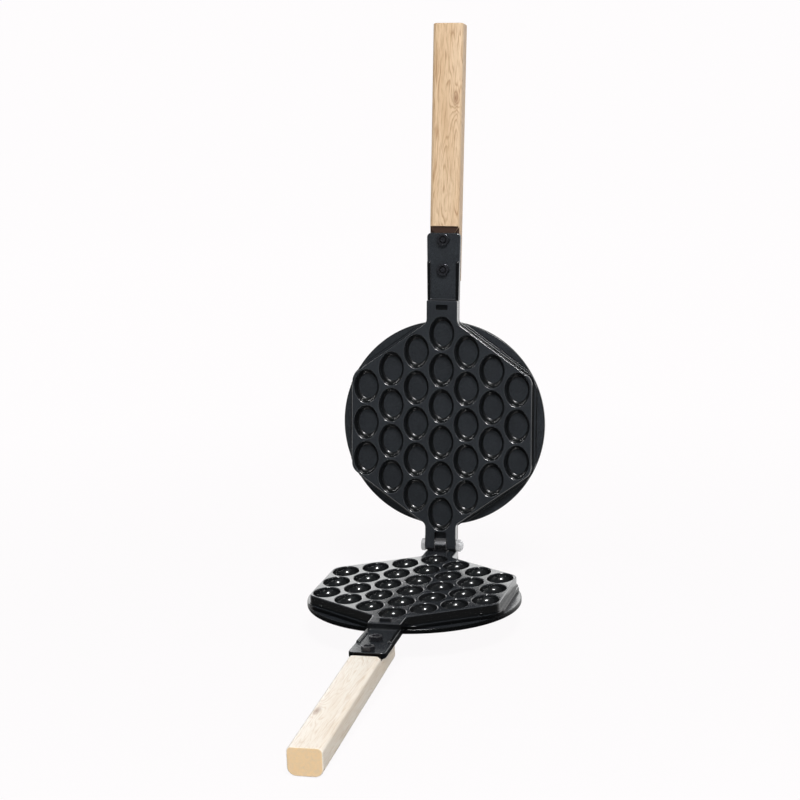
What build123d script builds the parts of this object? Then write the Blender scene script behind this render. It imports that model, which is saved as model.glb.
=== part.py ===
"""Hinged egg waffle pan: two cast halves with 30 oval cells each, a hinge bolt and two wooden handles.

Each half is modelled in its own frame: the origin is the middle of the cooking face, x runs across the
pan, y towards the hinge and z out of the cooking face. The two frames then place the halves: the lower
one level with its cooking face up, the upper one swung open about the hinge bolt.
The row origin is the middle of the lower half's underside, where the fire ring rests. Millimetres.
"""

import os
from math import atan, copysign, cos, hypot, pi, radians, sin, sqrt

from build123d import *

# Cells: staggered columns, one cell fewer in each column away from the middle
columns_each_side = 3
middle_column_cells = 6
cell_pitch_x = 23.0
cell_pitch_y = 32.5
cell_width = 23.4
cell_length = 30.9
cell_depth = 7.0
cell_floor_width = 18.0
cell_floor_length = 23.5
cell_flats = 16
cell_wall = 1.7
dome_top_thickness = 2.2
dome_corner = 7.5

# Plate: hexagon round the cells, a stepped plinth under it and a round fire ring under that
rim_margin = 1.6
corner_radius = 11.0
plate_wall = 3.0
web_thickness = 4.5
hexagon_depth = 8.0
plinth_step = 3.0
plinth_depth = 3.0
plinth_margin = 0.4
ring_radius = 92.2
ring_depth = 4.0
ring_wall = 3.0
ring_lip = 2.0

# Necks: the blocks that carry the hinge and the handle bracket
hinge_distance = 110.0
neck_width = 28.1
neck_depth = 11.0
neck_fillet = 6.0
handle_neck_reach = 111.0
locating_slot_width = 10.6
locating_slot_length = 4.7
locating_slot_depth = 3.6
locating_slot_inset = 6.2
locating_clearance = 0.35
boss_height = 3.0

# Hinge
open_angle = 96.8
face_gap = 0.3
axis_height = 5.5
bolt_radius = 2.95
bore_clearance = 0.05
knuckle_radius = 5.5
knuckle_width = 10.0
knuckle_side_gap = 0.5
knuckle_end_gap = 0.6
ear_relief_reach = 6.4
ear_relief_depth = 6.5
lip_reach = 2.6
lip_gap = 0.35
stop_pad_reach = 7.5
stop_gap = 0.15
head_seat_gap = 0.1

# Bracket and handle
bracket_drop = 5.9
bracket_width = 30.6
bracket_neck_width = 28.6
bracket_length = 60.0
bracket_plate = 2.6
bracket_flange = 4.9
bracket_flange_width = 6.0
bracket_corner = 4.0
rail_spacing = 22.4
rail_height = 1.0
rail_length = 35.0
handle_width = 27.6
handle_thickness = 23.2
handle_length = 180.6
handle_tilt = 3.5
handle_shoulder_gap = 6.0
handle_front_drop = 6.6
handle_front_corner = 4.2
handle_back_corner = 8.0
handle_end_edge = 1.0
tongue_length = 48.4
wood_clearance = 0.1
handle_bolt_inset = 6.1
handle_bolt_spacing = 26.7
handle_bolt_hole = 3.3
bolt_seat_drop = 21.5
counterbore_radius = 7.2

# Fasteners: six millimetre thread
nut_across_flats = 10.0
nut_height = 4.5
lock_nut_height = 5.4
thread_gap = 0.02
thread_end = 0.8
thread_recess = 0.8
head_height = 3.6

# Worked out from the sizes above
casting_depth = hexagon_depth + plinth_depth + ring_depth
edge_slope = cell_pitch_y / 2 / cell_pitch_x
edge_angle = atan(edge_slope)
end_cell_y = (middle_column_cells - 1) / 2 * cell_pitch_y
cell_support = hypot(cell_width / 2 * sin(edge_angle), cell_length / 2 * cos(edge_angle))
plate_half_width = columns_each_side * cell_pitch_x + cell_width / 2 + rim_margin
plate_apex = end_cell_y + (cell_support + rim_margin) / cos(edge_angle)
plate_corner_y = plate_apex - edge_slope * plate_half_width
upper_axis_height = axis_height - face_gap
knuckle_reach = knuckle_radius + knuckle_end_gap
hinge_neck_reach = hinge_distance - knuckle_reach
bracket_end_y = -handle_neck_reach - bracket_length
shoulder_y = bracket_end_y - handle_shoulder_gap
bolt_ys = [bracket_end_y + handle_bolt_inset + i * handle_bolt_spacing for i in (1, 0)]
locating_slot_y = -handle_neck_reach + locating_slot_inset
bore_radius = bolt_radius + bore_clearance
cell_centres = [
    (column * cell_pitch_x, (i - (count - 1) / 2) * cell_pitch_y)
    for column in range(-columns_each_side, columns_each_side + 1)
    for count in [middle_column_cells - abs(column)]
    for i in range(count)
]

# Where the halves lie: the hinge bolt's axis, then each half's frame
hinge_axis_y = hinge_distance
hinge_axis_z = casting_depth + axis_height
lower_frame = Plane(origin=(0, 0, casting_depth), x_dir=(1, 0, 0), z_dir=(0, 0, 1))
to_hinge = Vector(0, cos(radians(open_angle)), -sin(radians(open_angle)))
face_normal = Vector(0, -sin(radians(open_angle)), -cos(radians(open_angle)))
upper_frame = Plane(
    origin=Vector(0, hinge_axis_y, hinge_axis_z)
    - to_hinge * hinge_distance
    + face_normal * upper_axis_height,
    x_dir=(-1, 0, 0),
    z_dir=face_normal,
)


def oval(width, length, height):
    """Points round an oval of four arcs that meet at 45 degrees, at one height."""
    centre_offset = (length - width) / 2 / (2 - sqrt(2))
    end_radius = length / 2 - centre_offset
    side_radius = width / 2 + centre_offset
    points = []
    for i in range(cell_flats):
        angle = 2 * pi * i / cell_flats
        if abs(cos(angle)) > abs(sin(angle)):
            centre, radius = Vector(-copysign(centre_offset, cos(angle)), 0, height), side_radius
        else:
            centre, radius = Vector(0, copysign(centre_offset, sin(angle)), height), end_radius
        points.append(centre + radius * Vector(cos(angle), sin(angle)))
    return points


def cell_pocket():
    """The hollow of one cell, from the cooking face down to its flat floor."""
    rim = oval(cell_width, cell_length, 0)
    floor = oval(cell_floor_width, cell_floor_length, -cell_depth)
    with BuildPart() as pocket:
        ConvexPolyhedron(rim + floor)
    return pocket.part


def dome_section(width, length, height):
    """Corners of one level of a dome: a rectangle with its corners cut off."""
    return [
        Vector(side * (width / 2 - x_cut), end * (length / 2 - y_cut), height)
        for side in (-1, 1)
        for end in (-1, 1)
        for x_cut, y_cut in ((dome_corner, 0), (0, dome_corner))
    ]


def cell_dome():
    """The outside of one cell in the open back, with even walls round the hollow."""
    root_drop = web_thickness / cell_depth
    root_width = cell_width + root_drop * (cell_floor_width - cell_width) + 2 * cell_wall
    root_length = cell_length + root_drop * (cell_floor_length - cell_length) + 2 * cell_wall
    root = dome_section(root_width, root_length, -web_thickness)
    top_width = cell_floor_width + 2 * cell_wall
    top_length = cell_floor_length + 2 * cell_wall
    top = dome_section(top_width, top_length, -cell_depth - dome_top_thickness)
    with BuildPart() as dome:
        ConvexPolyhedron(root + top)
    return dome.part


def hexagon_outline():
    """The cooking face: straight sides along the outer cells, with rounded side corners."""
    with BuildSketch() as outline:
        with BuildLine():
            Polyline(
                (0, plate_apex),
                (plate_half_width, plate_corner_y),
                (plate_half_width, -plate_corner_y),
                (0, -plate_apex),
                (-plate_half_width, -plate_corner_y),
                (-plate_half_width, plate_corner_y),
                close=True,
            )
        make_face()
        side_corners = [v for v in outline.vertices() if abs(v.X) > plate_half_width / 2]
        fillet(side_corners, corner_radius)
    return outline.sketch


def bracket_outline(length):
    """The handle bracket's outline over a length from the neck: it widens towards its end."""
    neck_x = bracket_neck_width / 2
    end_x = neck_x + (bracket_width - bracket_neck_width) / 2 * length / bracket_length
    with BuildSketch() as outline:
        with BuildLine():
            Polyline(
                (-neck_x, -handle_neck_reach),
                (-end_x, -handle_neck_reach - length),
                (end_x, -handle_neck_reach - length),
                (neck_x, -handle_neck_reach),
                close=True,
            )
        make_face()
    return outline.sketch


def casting_blank():
    """What both castings share: plate, plinth, fire ring, necks, handle bracket, cells and open back."""
    hexagon = hexagon_outline()
    pocket = cell_pocket()
    dome = cell_dome()
    plinth_top = -hexagon_depth
    ring_top = plinth_top - plinth_depth
    with BuildPart() as blank:
        with BuildSketch():
            add(hexagon)
        extrude(amount=-hexagon_depth)
        with BuildSketch(Plane.XY.offset(plinth_top)):
            add(hexagon)
            offset(amount=plinth_step)
            Circle(ring_radius - plinth_margin, mode=Mode.INTERSECT)
        extrude(amount=-plinth_depth)
        with BuildSketch(Plane.XY.offset(ring_top)):
            Circle(ring_radius)
        extrude(amount=-ring_depth)
        # Open back: inside the hexagon's walls, then inside the fire ring
        with BuildSketch(Plane.XY.offset(-web_thickness)):
            add(hexagon)
            offset(amount=-plate_wall)
            Circle(ring_radius - ring_wall, mode=Mode.INTERSECT)
        extrude(amount=web_thickness - casting_depth, mode=Mode.SUBTRACT)
        with BuildSketch(Plane.XY.offset(-casting_depth)):
            Circle(ring_radius - ring_wall)
        extrude(amount=ring_lip, mode=Mode.SUBTRACT)
        # Necks, blended into the plate's edges
        with BuildSketch():
            add(hexagon)
            with Locations((0, hinge_neck_reach / 2)):
                Rectangle(neck_width, hinge_neck_reach)
            with Locations((0, -handle_neck_reach / 2)):
                Rectangle(neck_width, handle_neck_reach)
            # Out and back in again rounds the inward corners alone
            offset(amount=neck_fillet, mode=Mode.REPLACE)
            offset(amount=-neck_fillet, mode=Mode.REPLACE)
            add(hexagon, mode=Mode.SUBTRACT)
        extrude(amount=-neck_depth)
        # Handle bracket: a plate with two side flanges below and two side rails above
        with BuildSketch(Plane.XY.offset(-bracket_drop)) as bracket:
            add(bracket_outline(bracket_length))
            fillet(bracket.vertices().group_by(Axis.Y)[0], bracket_corner)
        extrude(amount=-bracket_flange)
        with BuildSketch(Plane.XY.offset(-bracket_drop - bracket_plate)):
            with Locations((0, -handle_neck_reach - bracket_length / 2)):
                Rectangle(bracket_width - 2 * bracket_flange_width, bracket_length)
        extrude(amount=bracket_plate - bracket_flange, mode=Mode.SUBTRACT)
        with BuildSketch(Plane.XY.offset(-bracket_drop)):
            add(bracket_outline(rail_length))
            with Locations((0, -handle_neck_reach - rail_length / 2)):
                Rectangle(rail_spacing, rail_length, mode=Mode.SUBTRACT)
        extrude(amount=rail_height)
        with BuildSketch(Plane.XY.offset(-bracket_drop)):
            with Locations(*[(0, y) for y in bolt_ys]):
                Circle(handle_bolt_hole)
        extrude(amount=-bracket_flange, mode=Mode.SUBTRACT)
        # Cells: the domes in the open back, then the pockets from the cooking face
        with Locations(*cell_centres):
            add(dome)
        with Locations(*cell_centres):
            add(pocket, mode=Mode.SUBTRACT)
    return blank.part


def lower_casting(blank):
    """The lower half: a knuckle on a lug for the hinge, a stop pad under it and the locating boss."""
    with BuildPart() as casting:
        add(blank)
        with BuildSketch():
            pad_reach = hinge_distance + stop_pad_reach
            with Locations((0, (hinge_neck_reach + pad_reach) / 2)):
                Rectangle(neck_width, pad_reach - hinge_neck_reach)
        extrude(amount=-neck_depth)
        with BuildSketch(Plane.YZ.offset(-knuckle_width / 2)):
            with Locations((hinge_distance, axis_height)):
                Circle(knuckle_radius)
            with Locations((hinge_distance, axis_height / 2)):
                Rectangle(2 * knuckle_radius, axis_height)
            with Locations((hinge_distance, axis_height)):
                Circle(bore_radius, mode=Mode.SUBTRACT)
        extrude(amount=knuckle_width)
        with BuildSketch():
            with Locations((0, locating_slot_y)):
                Rectangle(
                    locating_slot_width - 2 * locating_clearance,
                    locating_slot_length - 2 * locating_clearance,
                )
        extrude(amount=boss_height)
    return casting.part


def upper_casting(blank):
    """The upper half: two ears round the knuckle, whose heels stop the lid, and the locating slot."""
    heel_height = neck_depth - upper_axis_height
    lift = radians(open_angle)
    heel_reach = (axis_height - stop_gap + heel_height * cos(lift)) / sin(lift)
    ear_reach = hinge_distance + heel_reach
    slot_width = knuckle_width + 2 * knuckle_side_gap
    with BuildPart() as casting:
        add(blank)
        # Ears: rounded on the cooking face's side, square at the heel
        with BuildSketch(Plane.YZ.offset(-neck_width / 2)) as ear:
            with Locations(((hinge_neck_reach + ear_reach) / 2, -neck_depth / 2)):
                Rectangle(ear_reach - hinge_neck_reach, neck_depth)
            front_corner = ear.vertices().group_by(Axis.X)[-1].sort_by(Axis.Y)[-1]
            fillet(front_corner, min(heel_reach, upper_axis_height))
        extrude(amount=neck_width)
        # Slot for the knuckle, with a shallower relief beside it
        with BuildSketch():
            with Locations((0, (hinge_neck_reach + ear_reach) / 2)):
                Rectangle(slot_width, knuckle_reach + heel_reach)
        extrude(amount=-neck_depth, mode=Mode.SUBTRACT)
        with BuildSketch():
            with Locations((0, hinge_neck_reach - ear_relief_reach / 2)):
                Rectangle(slot_width, ear_relief_reach)
        extrude(amount=-ear_relief_depth, mode=Mode.SUBTRACT)
        # Lip behind the knuckle, hollowed to its round
        with BuildSketch(Plane.YZ.offset(-slot_width / 2)):
            lip_height = neck_depth - ear_relief_depth
            with Locations((hinge_neck_reach + lip_reach / 2, -neck_depth + lip_height / 2)):
                Rectangle(lip_reach, lip_height)
            with Locations((hinge_distance, -upper_axis_height)):
                Circle(knuckle_radius + lip_gap, mode=Mode.SUBTRACT)
        extrude(amount=slot_width)
        with BuildSketch(Plane.YZ.offset(-neck_width / 2)):
            with Locations((hinge_distance, -upper_axis_height)):
                Circle(bore_radius)
        extrude(amount=neck_width, mode=Mode.SUBTRACT)
        with BuildSketch():
            with Locations((0, locating_slot_y)):
                Rectangle(locating_slot_width, locating_slot_length)
        extrude(amount=-locating_slot_depth, mode=Mode.SUBTRACT)
    return casting.part


def wooden_handle():
    """A grip whose tongue runs under the bracket and takes the two bolts."""
    grip_plane = Plane(
        origin=(0, shoulder_y, -handle_front_drop),
        x_dir=(1, 0, 0),
        z_dir=(0, -cos(radians(handle_tilt)), -sin(radians(handle_tilt))),
    )
    tongue_end_y = shoulder_y + tongue_length
    plate_seat = -bracket_drop - bracket_plate - wood_clearance
    flange_seat = -bracket_drop - bracket_flange - wood_clearance
    ridge_x = bracket_width / 2 - bracket_flange_width - wood_clearance
    side_x = handle_width / 2
    with BuildPart() as handle:
        with BuildSketch(grip_plane) as section:
            with Locations((0, -handle_thickness / 2)):
                Rectangle(handle_width, handle_thickness)
            fillet(section.vertices().group_by(Axis.Y)[-1], handle_front_corner)
            fillet(section.vertices().group_by(Axis.Y)[0], handle_back_corner)
        extrude(amount=handle_length)
        end_face = handle.faces().sort_by(Axis.Y)[0]
        chamfer(end_face.edges(), handle_end_edge)
        extrude(section.sketch, amount=-tongue_length)
        # Seat for the bracket's plate, then for its flanges, which runs out at the shoulder
        with BuildSketch(Plane.XY.offset(plate_seat)):
            with Locations((0, shoulder_y + tongue_length)):
                Rectangle(2 * handle_width, 2 * tongue_length)
        extrude(amount=handle_thickness, mode=Mode.SUBTRACT)
        with BuildSketch(Plane.XY.offset(flange_seat)):
            with BuildLine():
                Polyline(
                    (ridge_x, tongue_end_y + handle_thickness),
                    (ridge_x, bracket_end_y),
                    (side_x, shoulder_y),
                    (2 * side_x, shoulder_y),
                    (2 * side_x, tongue_end_y + handle_thickness),
                    close=True,
                )
            make_face()
            mirror(about=Plane.YZ)
        extrude(amount=handle_thickness, mode=Mode.SUBTRACT)
        with BuildSketch(Plane.XY.offset(-bolt_seat_drop)):
            with Locations(*[(0, y) for y in bolt_ys]):
                Circle(handle_bolt_hole)
        extrude(amount=bolt_seat_drop, mode=Mode.SUBTRACT)
        with BuildSketch(Plane.XY.offset(-bolt_seat_drop)):
            with Locations(*[(0, y) for y in bolt_ys]):
                Circle(counterbore_radius)
        extrude(amount=-handle_thickness, mode=Mode.SUBTRACT)
    return handle.part


def hexagon_bolt(shank_length):
    """A hexagon-headed bolt: the head lies below its plane and the shank stands above it."""
    with BuildPart() as bolt:
        with BuildSketch():
            RegularPolygon(nut_across_flats / 2, 6, major_radius=False)
        extrude(amount=-head_height)
        with BuildSketch():
            Circle(bolt_radius)
        extrude(amount=shank_length)
    return bolt.part


def hexagon_nut(height):
    """A plain nut that stands on its own plane."""
    with BuildPart() as nut:
        with BuildSketch():
            RegularPolygon(nut_across_flats / 2, 6, major_radius=False)
            Circle(bolt_radius + thread_gap, mode=Mode.SUBTRACT)
        extrude(amount=height)
    return nut.part


def write(piece, name):
    """Label a finished piece and write its file."""
    piece.label = name
    export_step(piece, f"parts/{name}.step")


os.makedirs("parts", exist_ok=True)

blank = casting_blank()
write(lower_frame.location * lower_casting(blank), "lower_pan")
write(upper_frame.location * upper_casting(blank), "upper_pan")

handle = wooden_handle()
bolt = hexagon_bolt(bolt_seat_drop - bracket_drop + nut_height - thread_recess)
nut = hexagon_nut(nut_height)
for half, frame in (("lower", lower_frame), ("upper", upper_frame)):
    write(frame.location * handle, f"{half}_handle")
    for place, y in zip(("inner", "outer"), bolt_ys):
        write(frame.location * Pos(0, y, -bolt_seat_drop) * bolt, f"{half}_handle_{place}_bolt")
        write(frame.location * Pos(0, y, -bracket_drop) * nut, f"{half}_handle_{place}_nut")

# Hinge bolt along x, its head at the left and its lock nut at the right of the ears
ear_face = neck_width / 2 + head_seat_gap
hinge_shank = 2 * ear_face + lock_nut_height + thread_end
head_plane = Plane(origin=(-ear_face, hinge_axis_y, hinge_axis_z), x_dir=(0, 1, 0), z_dir=(1, 0, 0))
nut_plane = Plane(origin=(ear_face, hinge_axis_y, hinge_axis_z), x_dir=(0, 1, 0), z_dir=(1, 0, 0))
write(head_plane.location * hexagon_bolt(hinge_shank), "hinge_bolt")
write(nut_plane.location * hexagon_nut(lock_nut_height), "hinge_nut")
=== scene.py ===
"""Looks of the hinged egg waffle pan: detailed castings, wooden handles, bolts, camera and light.

Lengths are millimetres in each half's own frame: the origin is the middle of the cooking face, y runs
towards the hinge and z out of the cooking face. A finished mesh is turned into metres. Materials,
camera and lamps are in metres.
"""

from math import atan2, ceil, copysign, cos, hypot, pi, radians, sin, sqrt, tan

import bmesh
import bpy
from mathutils import Matrix, Vector
from mathutils.geometry import delaunay_2d_cdt


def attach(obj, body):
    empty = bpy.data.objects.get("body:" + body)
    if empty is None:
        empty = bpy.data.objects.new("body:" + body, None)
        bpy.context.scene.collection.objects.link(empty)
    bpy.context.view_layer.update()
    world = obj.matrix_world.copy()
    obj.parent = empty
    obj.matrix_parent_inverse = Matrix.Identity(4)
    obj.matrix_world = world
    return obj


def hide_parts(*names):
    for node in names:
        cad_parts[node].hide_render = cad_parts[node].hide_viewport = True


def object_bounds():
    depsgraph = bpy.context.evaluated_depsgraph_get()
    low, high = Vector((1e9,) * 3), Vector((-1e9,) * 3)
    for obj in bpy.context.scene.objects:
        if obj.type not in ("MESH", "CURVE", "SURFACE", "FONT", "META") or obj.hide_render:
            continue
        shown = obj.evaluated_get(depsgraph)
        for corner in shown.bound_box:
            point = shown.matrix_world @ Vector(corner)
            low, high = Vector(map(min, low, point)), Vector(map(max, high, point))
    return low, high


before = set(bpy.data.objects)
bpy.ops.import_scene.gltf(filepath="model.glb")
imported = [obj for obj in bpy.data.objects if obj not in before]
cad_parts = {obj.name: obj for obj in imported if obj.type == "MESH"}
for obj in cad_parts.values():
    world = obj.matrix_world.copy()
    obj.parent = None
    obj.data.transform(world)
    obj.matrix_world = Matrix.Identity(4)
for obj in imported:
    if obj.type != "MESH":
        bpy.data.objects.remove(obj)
cad_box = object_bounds()

# Cells
COLUMNS_EACH_SIDE = 3
MIDDLE_COLUMN_CELLS = 6
CELL_PITCH_X = 23.0
CELL_PITCH_Y = 32.5
CELL_WIDTH = 23.4
CELL_LENGTH = 30.9
CELL_DEPTH = 7.0
CELL_FLOOR_WIDTH = 18.0
CELL_FLOOR_LENGTH = 23.5
CELL_FLOOR_THICKNESS = 2.2
CELL_WALL = 1.7

# Plate, plinth, fire ring and open back
RIM_MARGIN = 1.6
CORNER_RADIUS = 11.0
APEX_RADIUS = 3.0
HEXAGON_DEPTH = 8.0
SKIRT_FLARE = 1.4
PLINTH_STEP = 3.0
NECK_DEPTH = 11.0
CASTING_DEPTH = 15.0
WEB_THICKNESS = 4.5
PLATE_WALL = 3.0
RING_RADIUS = 92.2
RING_WALL = 3.0
RING_LIP = 2.0
# Larger than the apexes' own, so that the outline doesn't cross itself where the wall sets it in
HOLLOW_APEX_RADIUS = 8.0
CAP_GRID = 9

# Necks, and the small nubs beside the handle neck
NECK_HALF_WIDTH = 14.05
NECK_FILLET = 6.0
NECK_CORNER = 1.2
HANDLE_NECK_REACH = 111.0
LOWER_NECK_REACH = 117.5
UPPER_NECK_REACH = 103.9
NUB_X = 69.0
NUB_RADIUS = 1.3
NUB_TOP = -5.7

# Hinge
OPEN_ANGLE = radians(96.8)
HINGE_DISTANCE = 110.0
LOWER_AXIS_HEIGHT = 5.5
UPPER_AXIS_HEIGHT = 5.2
KNUCKLE_RADIUS = 5.5
KNUCKLE_HALF_WIDTH = 5.0
EAR_INNER_X = 5.5
HEEL_CLEARANCE = 0.15
RELIEF_RADIUS = 5.85
RELIEF_DEPTH = 6.5
BORE_CLEARANCE = 0.05

# Locating boss on the lower half and its slot in the upper one, by two opposite corners
BOSS = ((-4.95, -106.8, -1), (4.95, -102.8, 3.0))
SLOT = ((-5.3, -107.15, -3.6), (5.3, -102.45, 2))

# Bracket
BRACKET_DROP = 5.9
BRACKET_PLATE = 2.6
BRACKET_NECK_HALF = 14.3
BRACKET_END_HALF = 15.3
BRACKET_END = -171.0
BRACKET_CORNER = 4.0
FLANGE_DEPTH = 4.9
FLANGE_INNER_X = 9.3
RAIL_END = -146.0
RAIL_INNER_X = 11.2
RAIL_HEIGHT = 1.1
POST_X = 12.9
POST_RADIUS = 1.1
POST_HEIGHT = 1.9

# Handle
SHOULDER = -177.0
HANDLE_TILT = radians(3.5)
HANDLE_FRONT_DROP = 6.6
HANDLE_HALF_WIDTH = 13.8
HANDLE_SHOULDER_HALF = 13.1
HANDLE_THICKNESS = 23.2
HANDLE_LENGTH = 180.6
HANDLE_FRONT_ROUND = 4.2
HANDLE_BACK_ROUND = 7.0
TONGUE_LENGTH = 48.4
TONGUE_CLEARANCE = 0.1

# Bolts and nuts
HANDLE_BOLTS = (-138.2, -164.9)
BOLT_SEAT = -21.5
BOLT_RADIUS = 2.95
BOLT_HEAD = 3.6
BOLT_HOLE_RADIUS = 3.3
COUNTERBORE_RADIUS = 7.2
THREAD_LENGTH = 9.0
THREAD_PITCH = 1.0
THREAD_DEPTH = 0.32
BOLT_TIP = 1.2
TIP_CHAMFER = 0.75
ACROSS_FLATS = 10.0
COLLAR_RADIUS = 4.35
NUT_BORE_CLEARANCE = 0.03
HANDLE_BOLT_SHANK = 18.6
HANDLE_NUT_HEIGHT = 3.9
HINGE_BOLT_EXCESS = 6.2
HINGE_NUT_HEIGHT = 5.4
HINGE_NUT_COLLAR = 1.4

# Camera, fitted to the photograph
CAMERA_LENS = 109.785
CAMERA_LOCATION = (0.4642, -1.9642, 0.6108)
CAMERA_DEGREES = (77.893, 1.269, 13.268)

# The knot in each handle, in metres, and the white of the backdrop
KNOT = (-0.0085, -0.290, -0.015)
PAPER = (0.985, 0.98, 0.982, 1)

EDGE_SLOPE = CELL_PITCH_Y / 2 / CELL_PITCH_X
EDGE_COS = 1 / hypot(1, EDGE_SLOPE)
CELL_SUPPORT = hypot(CELL_WIDTH / 2 * EDGE_SLOPE * EDGE_COS, CELL_LENGTH / 2 * EDGE_COS)
HALF_WIDTH = COLUMNS_EACH_SIDE * CELL_PITCH_X + CELL_WIDTH / 2 + RIM_MARGIN
APEX = (MIDDLE_COLUMN_CELLS - 1) / 2 * CELL_PITCH_Y + (CELL_SUPPORT + RIM_MARGIN) / EDGE_COS
CORNER_Y = APEX - EDGE_SLOPE * HALF_WIDTH
NECK_ROOT_Y = APEX - EDGE_SLOPE * NECK_HALF_WIDTH
CELLS = [
    (column, column * CELL_PITCH_X, (i - (count - 1) / 2) * CELL_PITCH_Y)
    for column in range(-COLUMNS_EACH_SIDE, COLUMNS_EACH_SIDE + 1)
    for count in [MIDDLE_COLUMN_CELLS - abs(column)]
    for i in range(count)
]


def frame_matrix(origin, x_axis, z_axis):
    """Placement of a frame given in millimetres, as a matrix in metres."""
    x_axis, z_axis = Vector(x_axis), Vector(z_axis)
    rotation = Matrix((x_axis, z_axis.cross(x_axis), z_axis)).transposed()
    return Matrix.Translation(Vector(origin) / 1000) @ rotation.to_4x4()


HINGE = Vector((0, HINGE_DISTANCE, CASTING_DEPTH + LOWER_AXIS_HEIGHT))
TO_HINGE = Vector((0, cos(OPEN_ANGLE), -sin(OPEN_ANGLE)))
FACE_NORMAL = Vector((0, -sin(OPEN_ANGLE), -cos(OPEN_ANGLE)))
FRAMES = {
    "lower": frame_matrix((0, 0, CASTING_DEPTH), (1, 0, 0), (0, 0, 1)),
    "upper": frame_matrix(
        HINGE - TO_HINGE * HINGE_DISTANCE + FACE_NORMAL * UPPER_AXIS_HEIGHT, (-1, 0, 0), FACE_NORMAL
    ),
}


# ---------------------------------------------------------------- meshes


def to_object(mesh):
    bmesh.ops.recalc_face_normals(mesh, faces=mesh.faces)
    data = bpy.data.meshes.new("solid")
    mesh.to_mesh(data)
    mesh.free()
    made = bpy.data.objects.new("solid", data)
    bpy.context.scene.collection.objects.link(made)
    return made


def remove(piece):
    data = piece.data
    bpy.data.objects.remove(piece)
    bpy.data.meshes.remove(data)


def joined(pieces):
    """Separate solids as one mesh object."""
    mesh = bmesh.new()
    for piece in pieces:
        mesh.from_mesh(piece.data)
        remove(piece)
    return to_object(mesh)


def combine(base, tool, operation):
    """Boolean of two closed meshes; the tool is used up."""
    modifier = base.modifiers.new("combine", "BOOLEAN")
    modifier.operation = operation
    modifier.solver = "MANIFOLD"
    modifier.object = tool
    depsgraph = bpy.context.evaluated_depsgraph_get()
    result = bpy.data.meshes.new_from_object(base.evaluated_get(depsgraph), depsgraph=depsgraph)
    base.modifiers.clear()
    before = base.data
    base.data = result
    bpy.data.meshes.remove(before)
    remove(tool)
    return base


def unite(base, *tools):
    for tool in tools:
        combine(base, tool, "UNION")
    return base


def cut(base, *tools):
    for tool in tools:
        combine(base, tool, "DIFFERENCE")
    return base


def solid(rings, grid=None):
    """A closed mesh object through rings of equal point counts, capped at both ends.

    A wide cap that others cut into takes a grid size, so that its faces stay small."""
    mesh = bmesh.new()
    loops = [[mesh.verts.new(point) for point in ring] for ring in rings]
    for below, above in zip(loops, loops[1:]):
        for i in range(len(below)):
            j = (i + 1) % len(below)
            mesh.faces.new((below[i], below[j], above[j], above[i]))
    for loop in (loops[0], loops[-1]):
        if grid:
            gridded_cap(mesh, loop, grid)
        else:
            mesh.faces.new(loop)
    return to_object(mesh)


def gridded_cap(mesh, loop, size):
    """Fills a level loop of vertices with triangles of about one size."""
    ring = [vertex.co.xy for vertex in loop]
    low = [min(point[i] for point in ring) for i in (0, 1)]
    high = [max(point[i] for point in ring) for i in (0, 1)]
    least_gap = (size / 3) ** 2
    spots = []
    for i in range(int((high[0] - low[0]) / size) + 1):
        for j in range(int((high[1] - low[1]) / size) + 1):
            spot = Vector((low[0] + (i + 0.5) * size, low[1] + (j + 0.5) * size))
            if inside(spot, ring) and min((spot - point).length_squared for point in ring) > least_gap:
                spots.append(spot)
    only_inside, nearness = 1, 1e-6
    points, _, faces, sources, _, _ = delaunay_2d_cdt(
        ring + spots, [], [list(range(len(ring)))], only_inside, nearness
    )
    vertices = []
    for point, source in zip(points, sources):
        known = [i for i in source if i < len(loop)]
        vertices.append(loop[known[0]] if known else mesh.verts.new((point.x, point.y, loop[0].co.z)))
    for face in faces:
        mesh.faces.new([vertices[i] for i in face])


def inside(spot, ring):
    """Whether a point lies within a closed line."""
    within = False
    for a, b in zip(ring, ring[1:] + ring[:1]):
        if (a.y > spot.y) != (b.y > spot.y):
            crossing = a.x + (spot.y - a.y) / (b.y - a.y) * (b.x - a.x)
            if spot.x < crossing:
                within = not within
    return within


# ---------------------------------------------------------------- outlines and solids


def outline(corners, spacing=6.0):
    """(point, outward normal) pairs along a closed line through (x, y, radius) corners, anticlockwise."""
    arcs = []
    for i, (x, y, radius) in enumerate(corners):
        here = Vector((x, y))
        arriving = (here - Vector(corners[i - 1][:2])).normalized()
        leaving = (Vector(corners[(i + 1) % len(corners)][:2]) - here).normalized()
        turn = atan2(arriving.x * leaving.y - arriving.y * leaving.x, arriving.dot(leaving))
        side = copysign(1, turn)
        start = here - arriving * radius * tan(abs(turn) / 2)
        centre = start + Vector((-arriving.y, arriving.x)) * side * radius
        steps = max(3, ceil(abs(turn) / radians(11)))
        arc = []
        for k in range(steps + 1):
            angle = turn * k / steps
            normal = Vector(
                (
                    arriving.y * cos(angle) + arriving.x * sin(angle),
                    arriving.y * sin(angle) - arriving.x * cos(angle),
                )
            )
            arc.append((centre + normal * side * radius, normal))
        arcs.append(arc)
    points = []
    for i, arc in enumerate(arcs):
        points += arc
        end, normal = arc[-1]
        following = arcs[(i + 1) % len(arcs)][0][0]
        parts = max(1, round((following - end).length / spacing))
        points += [(end.lerp(following, k / parts), normal) for k in range(1, parts)]
    return points


def polygon(points):
    """An outline with sharp corners, for a solid that needs no offset."""
    return [(Vector(point), Vector((0, 0))) for point in points]


def circle(radius, count=144, centre=(0, 0)):
    """(point, outward normal) pairs round a circle."""
    normals = [Vector((cos(2 * pi * i / count), sin(2 * pi * i / count))) for i in range(count)]
    return [(Vector(centre) + normal * radius, normal) for normal in normals]


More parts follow.
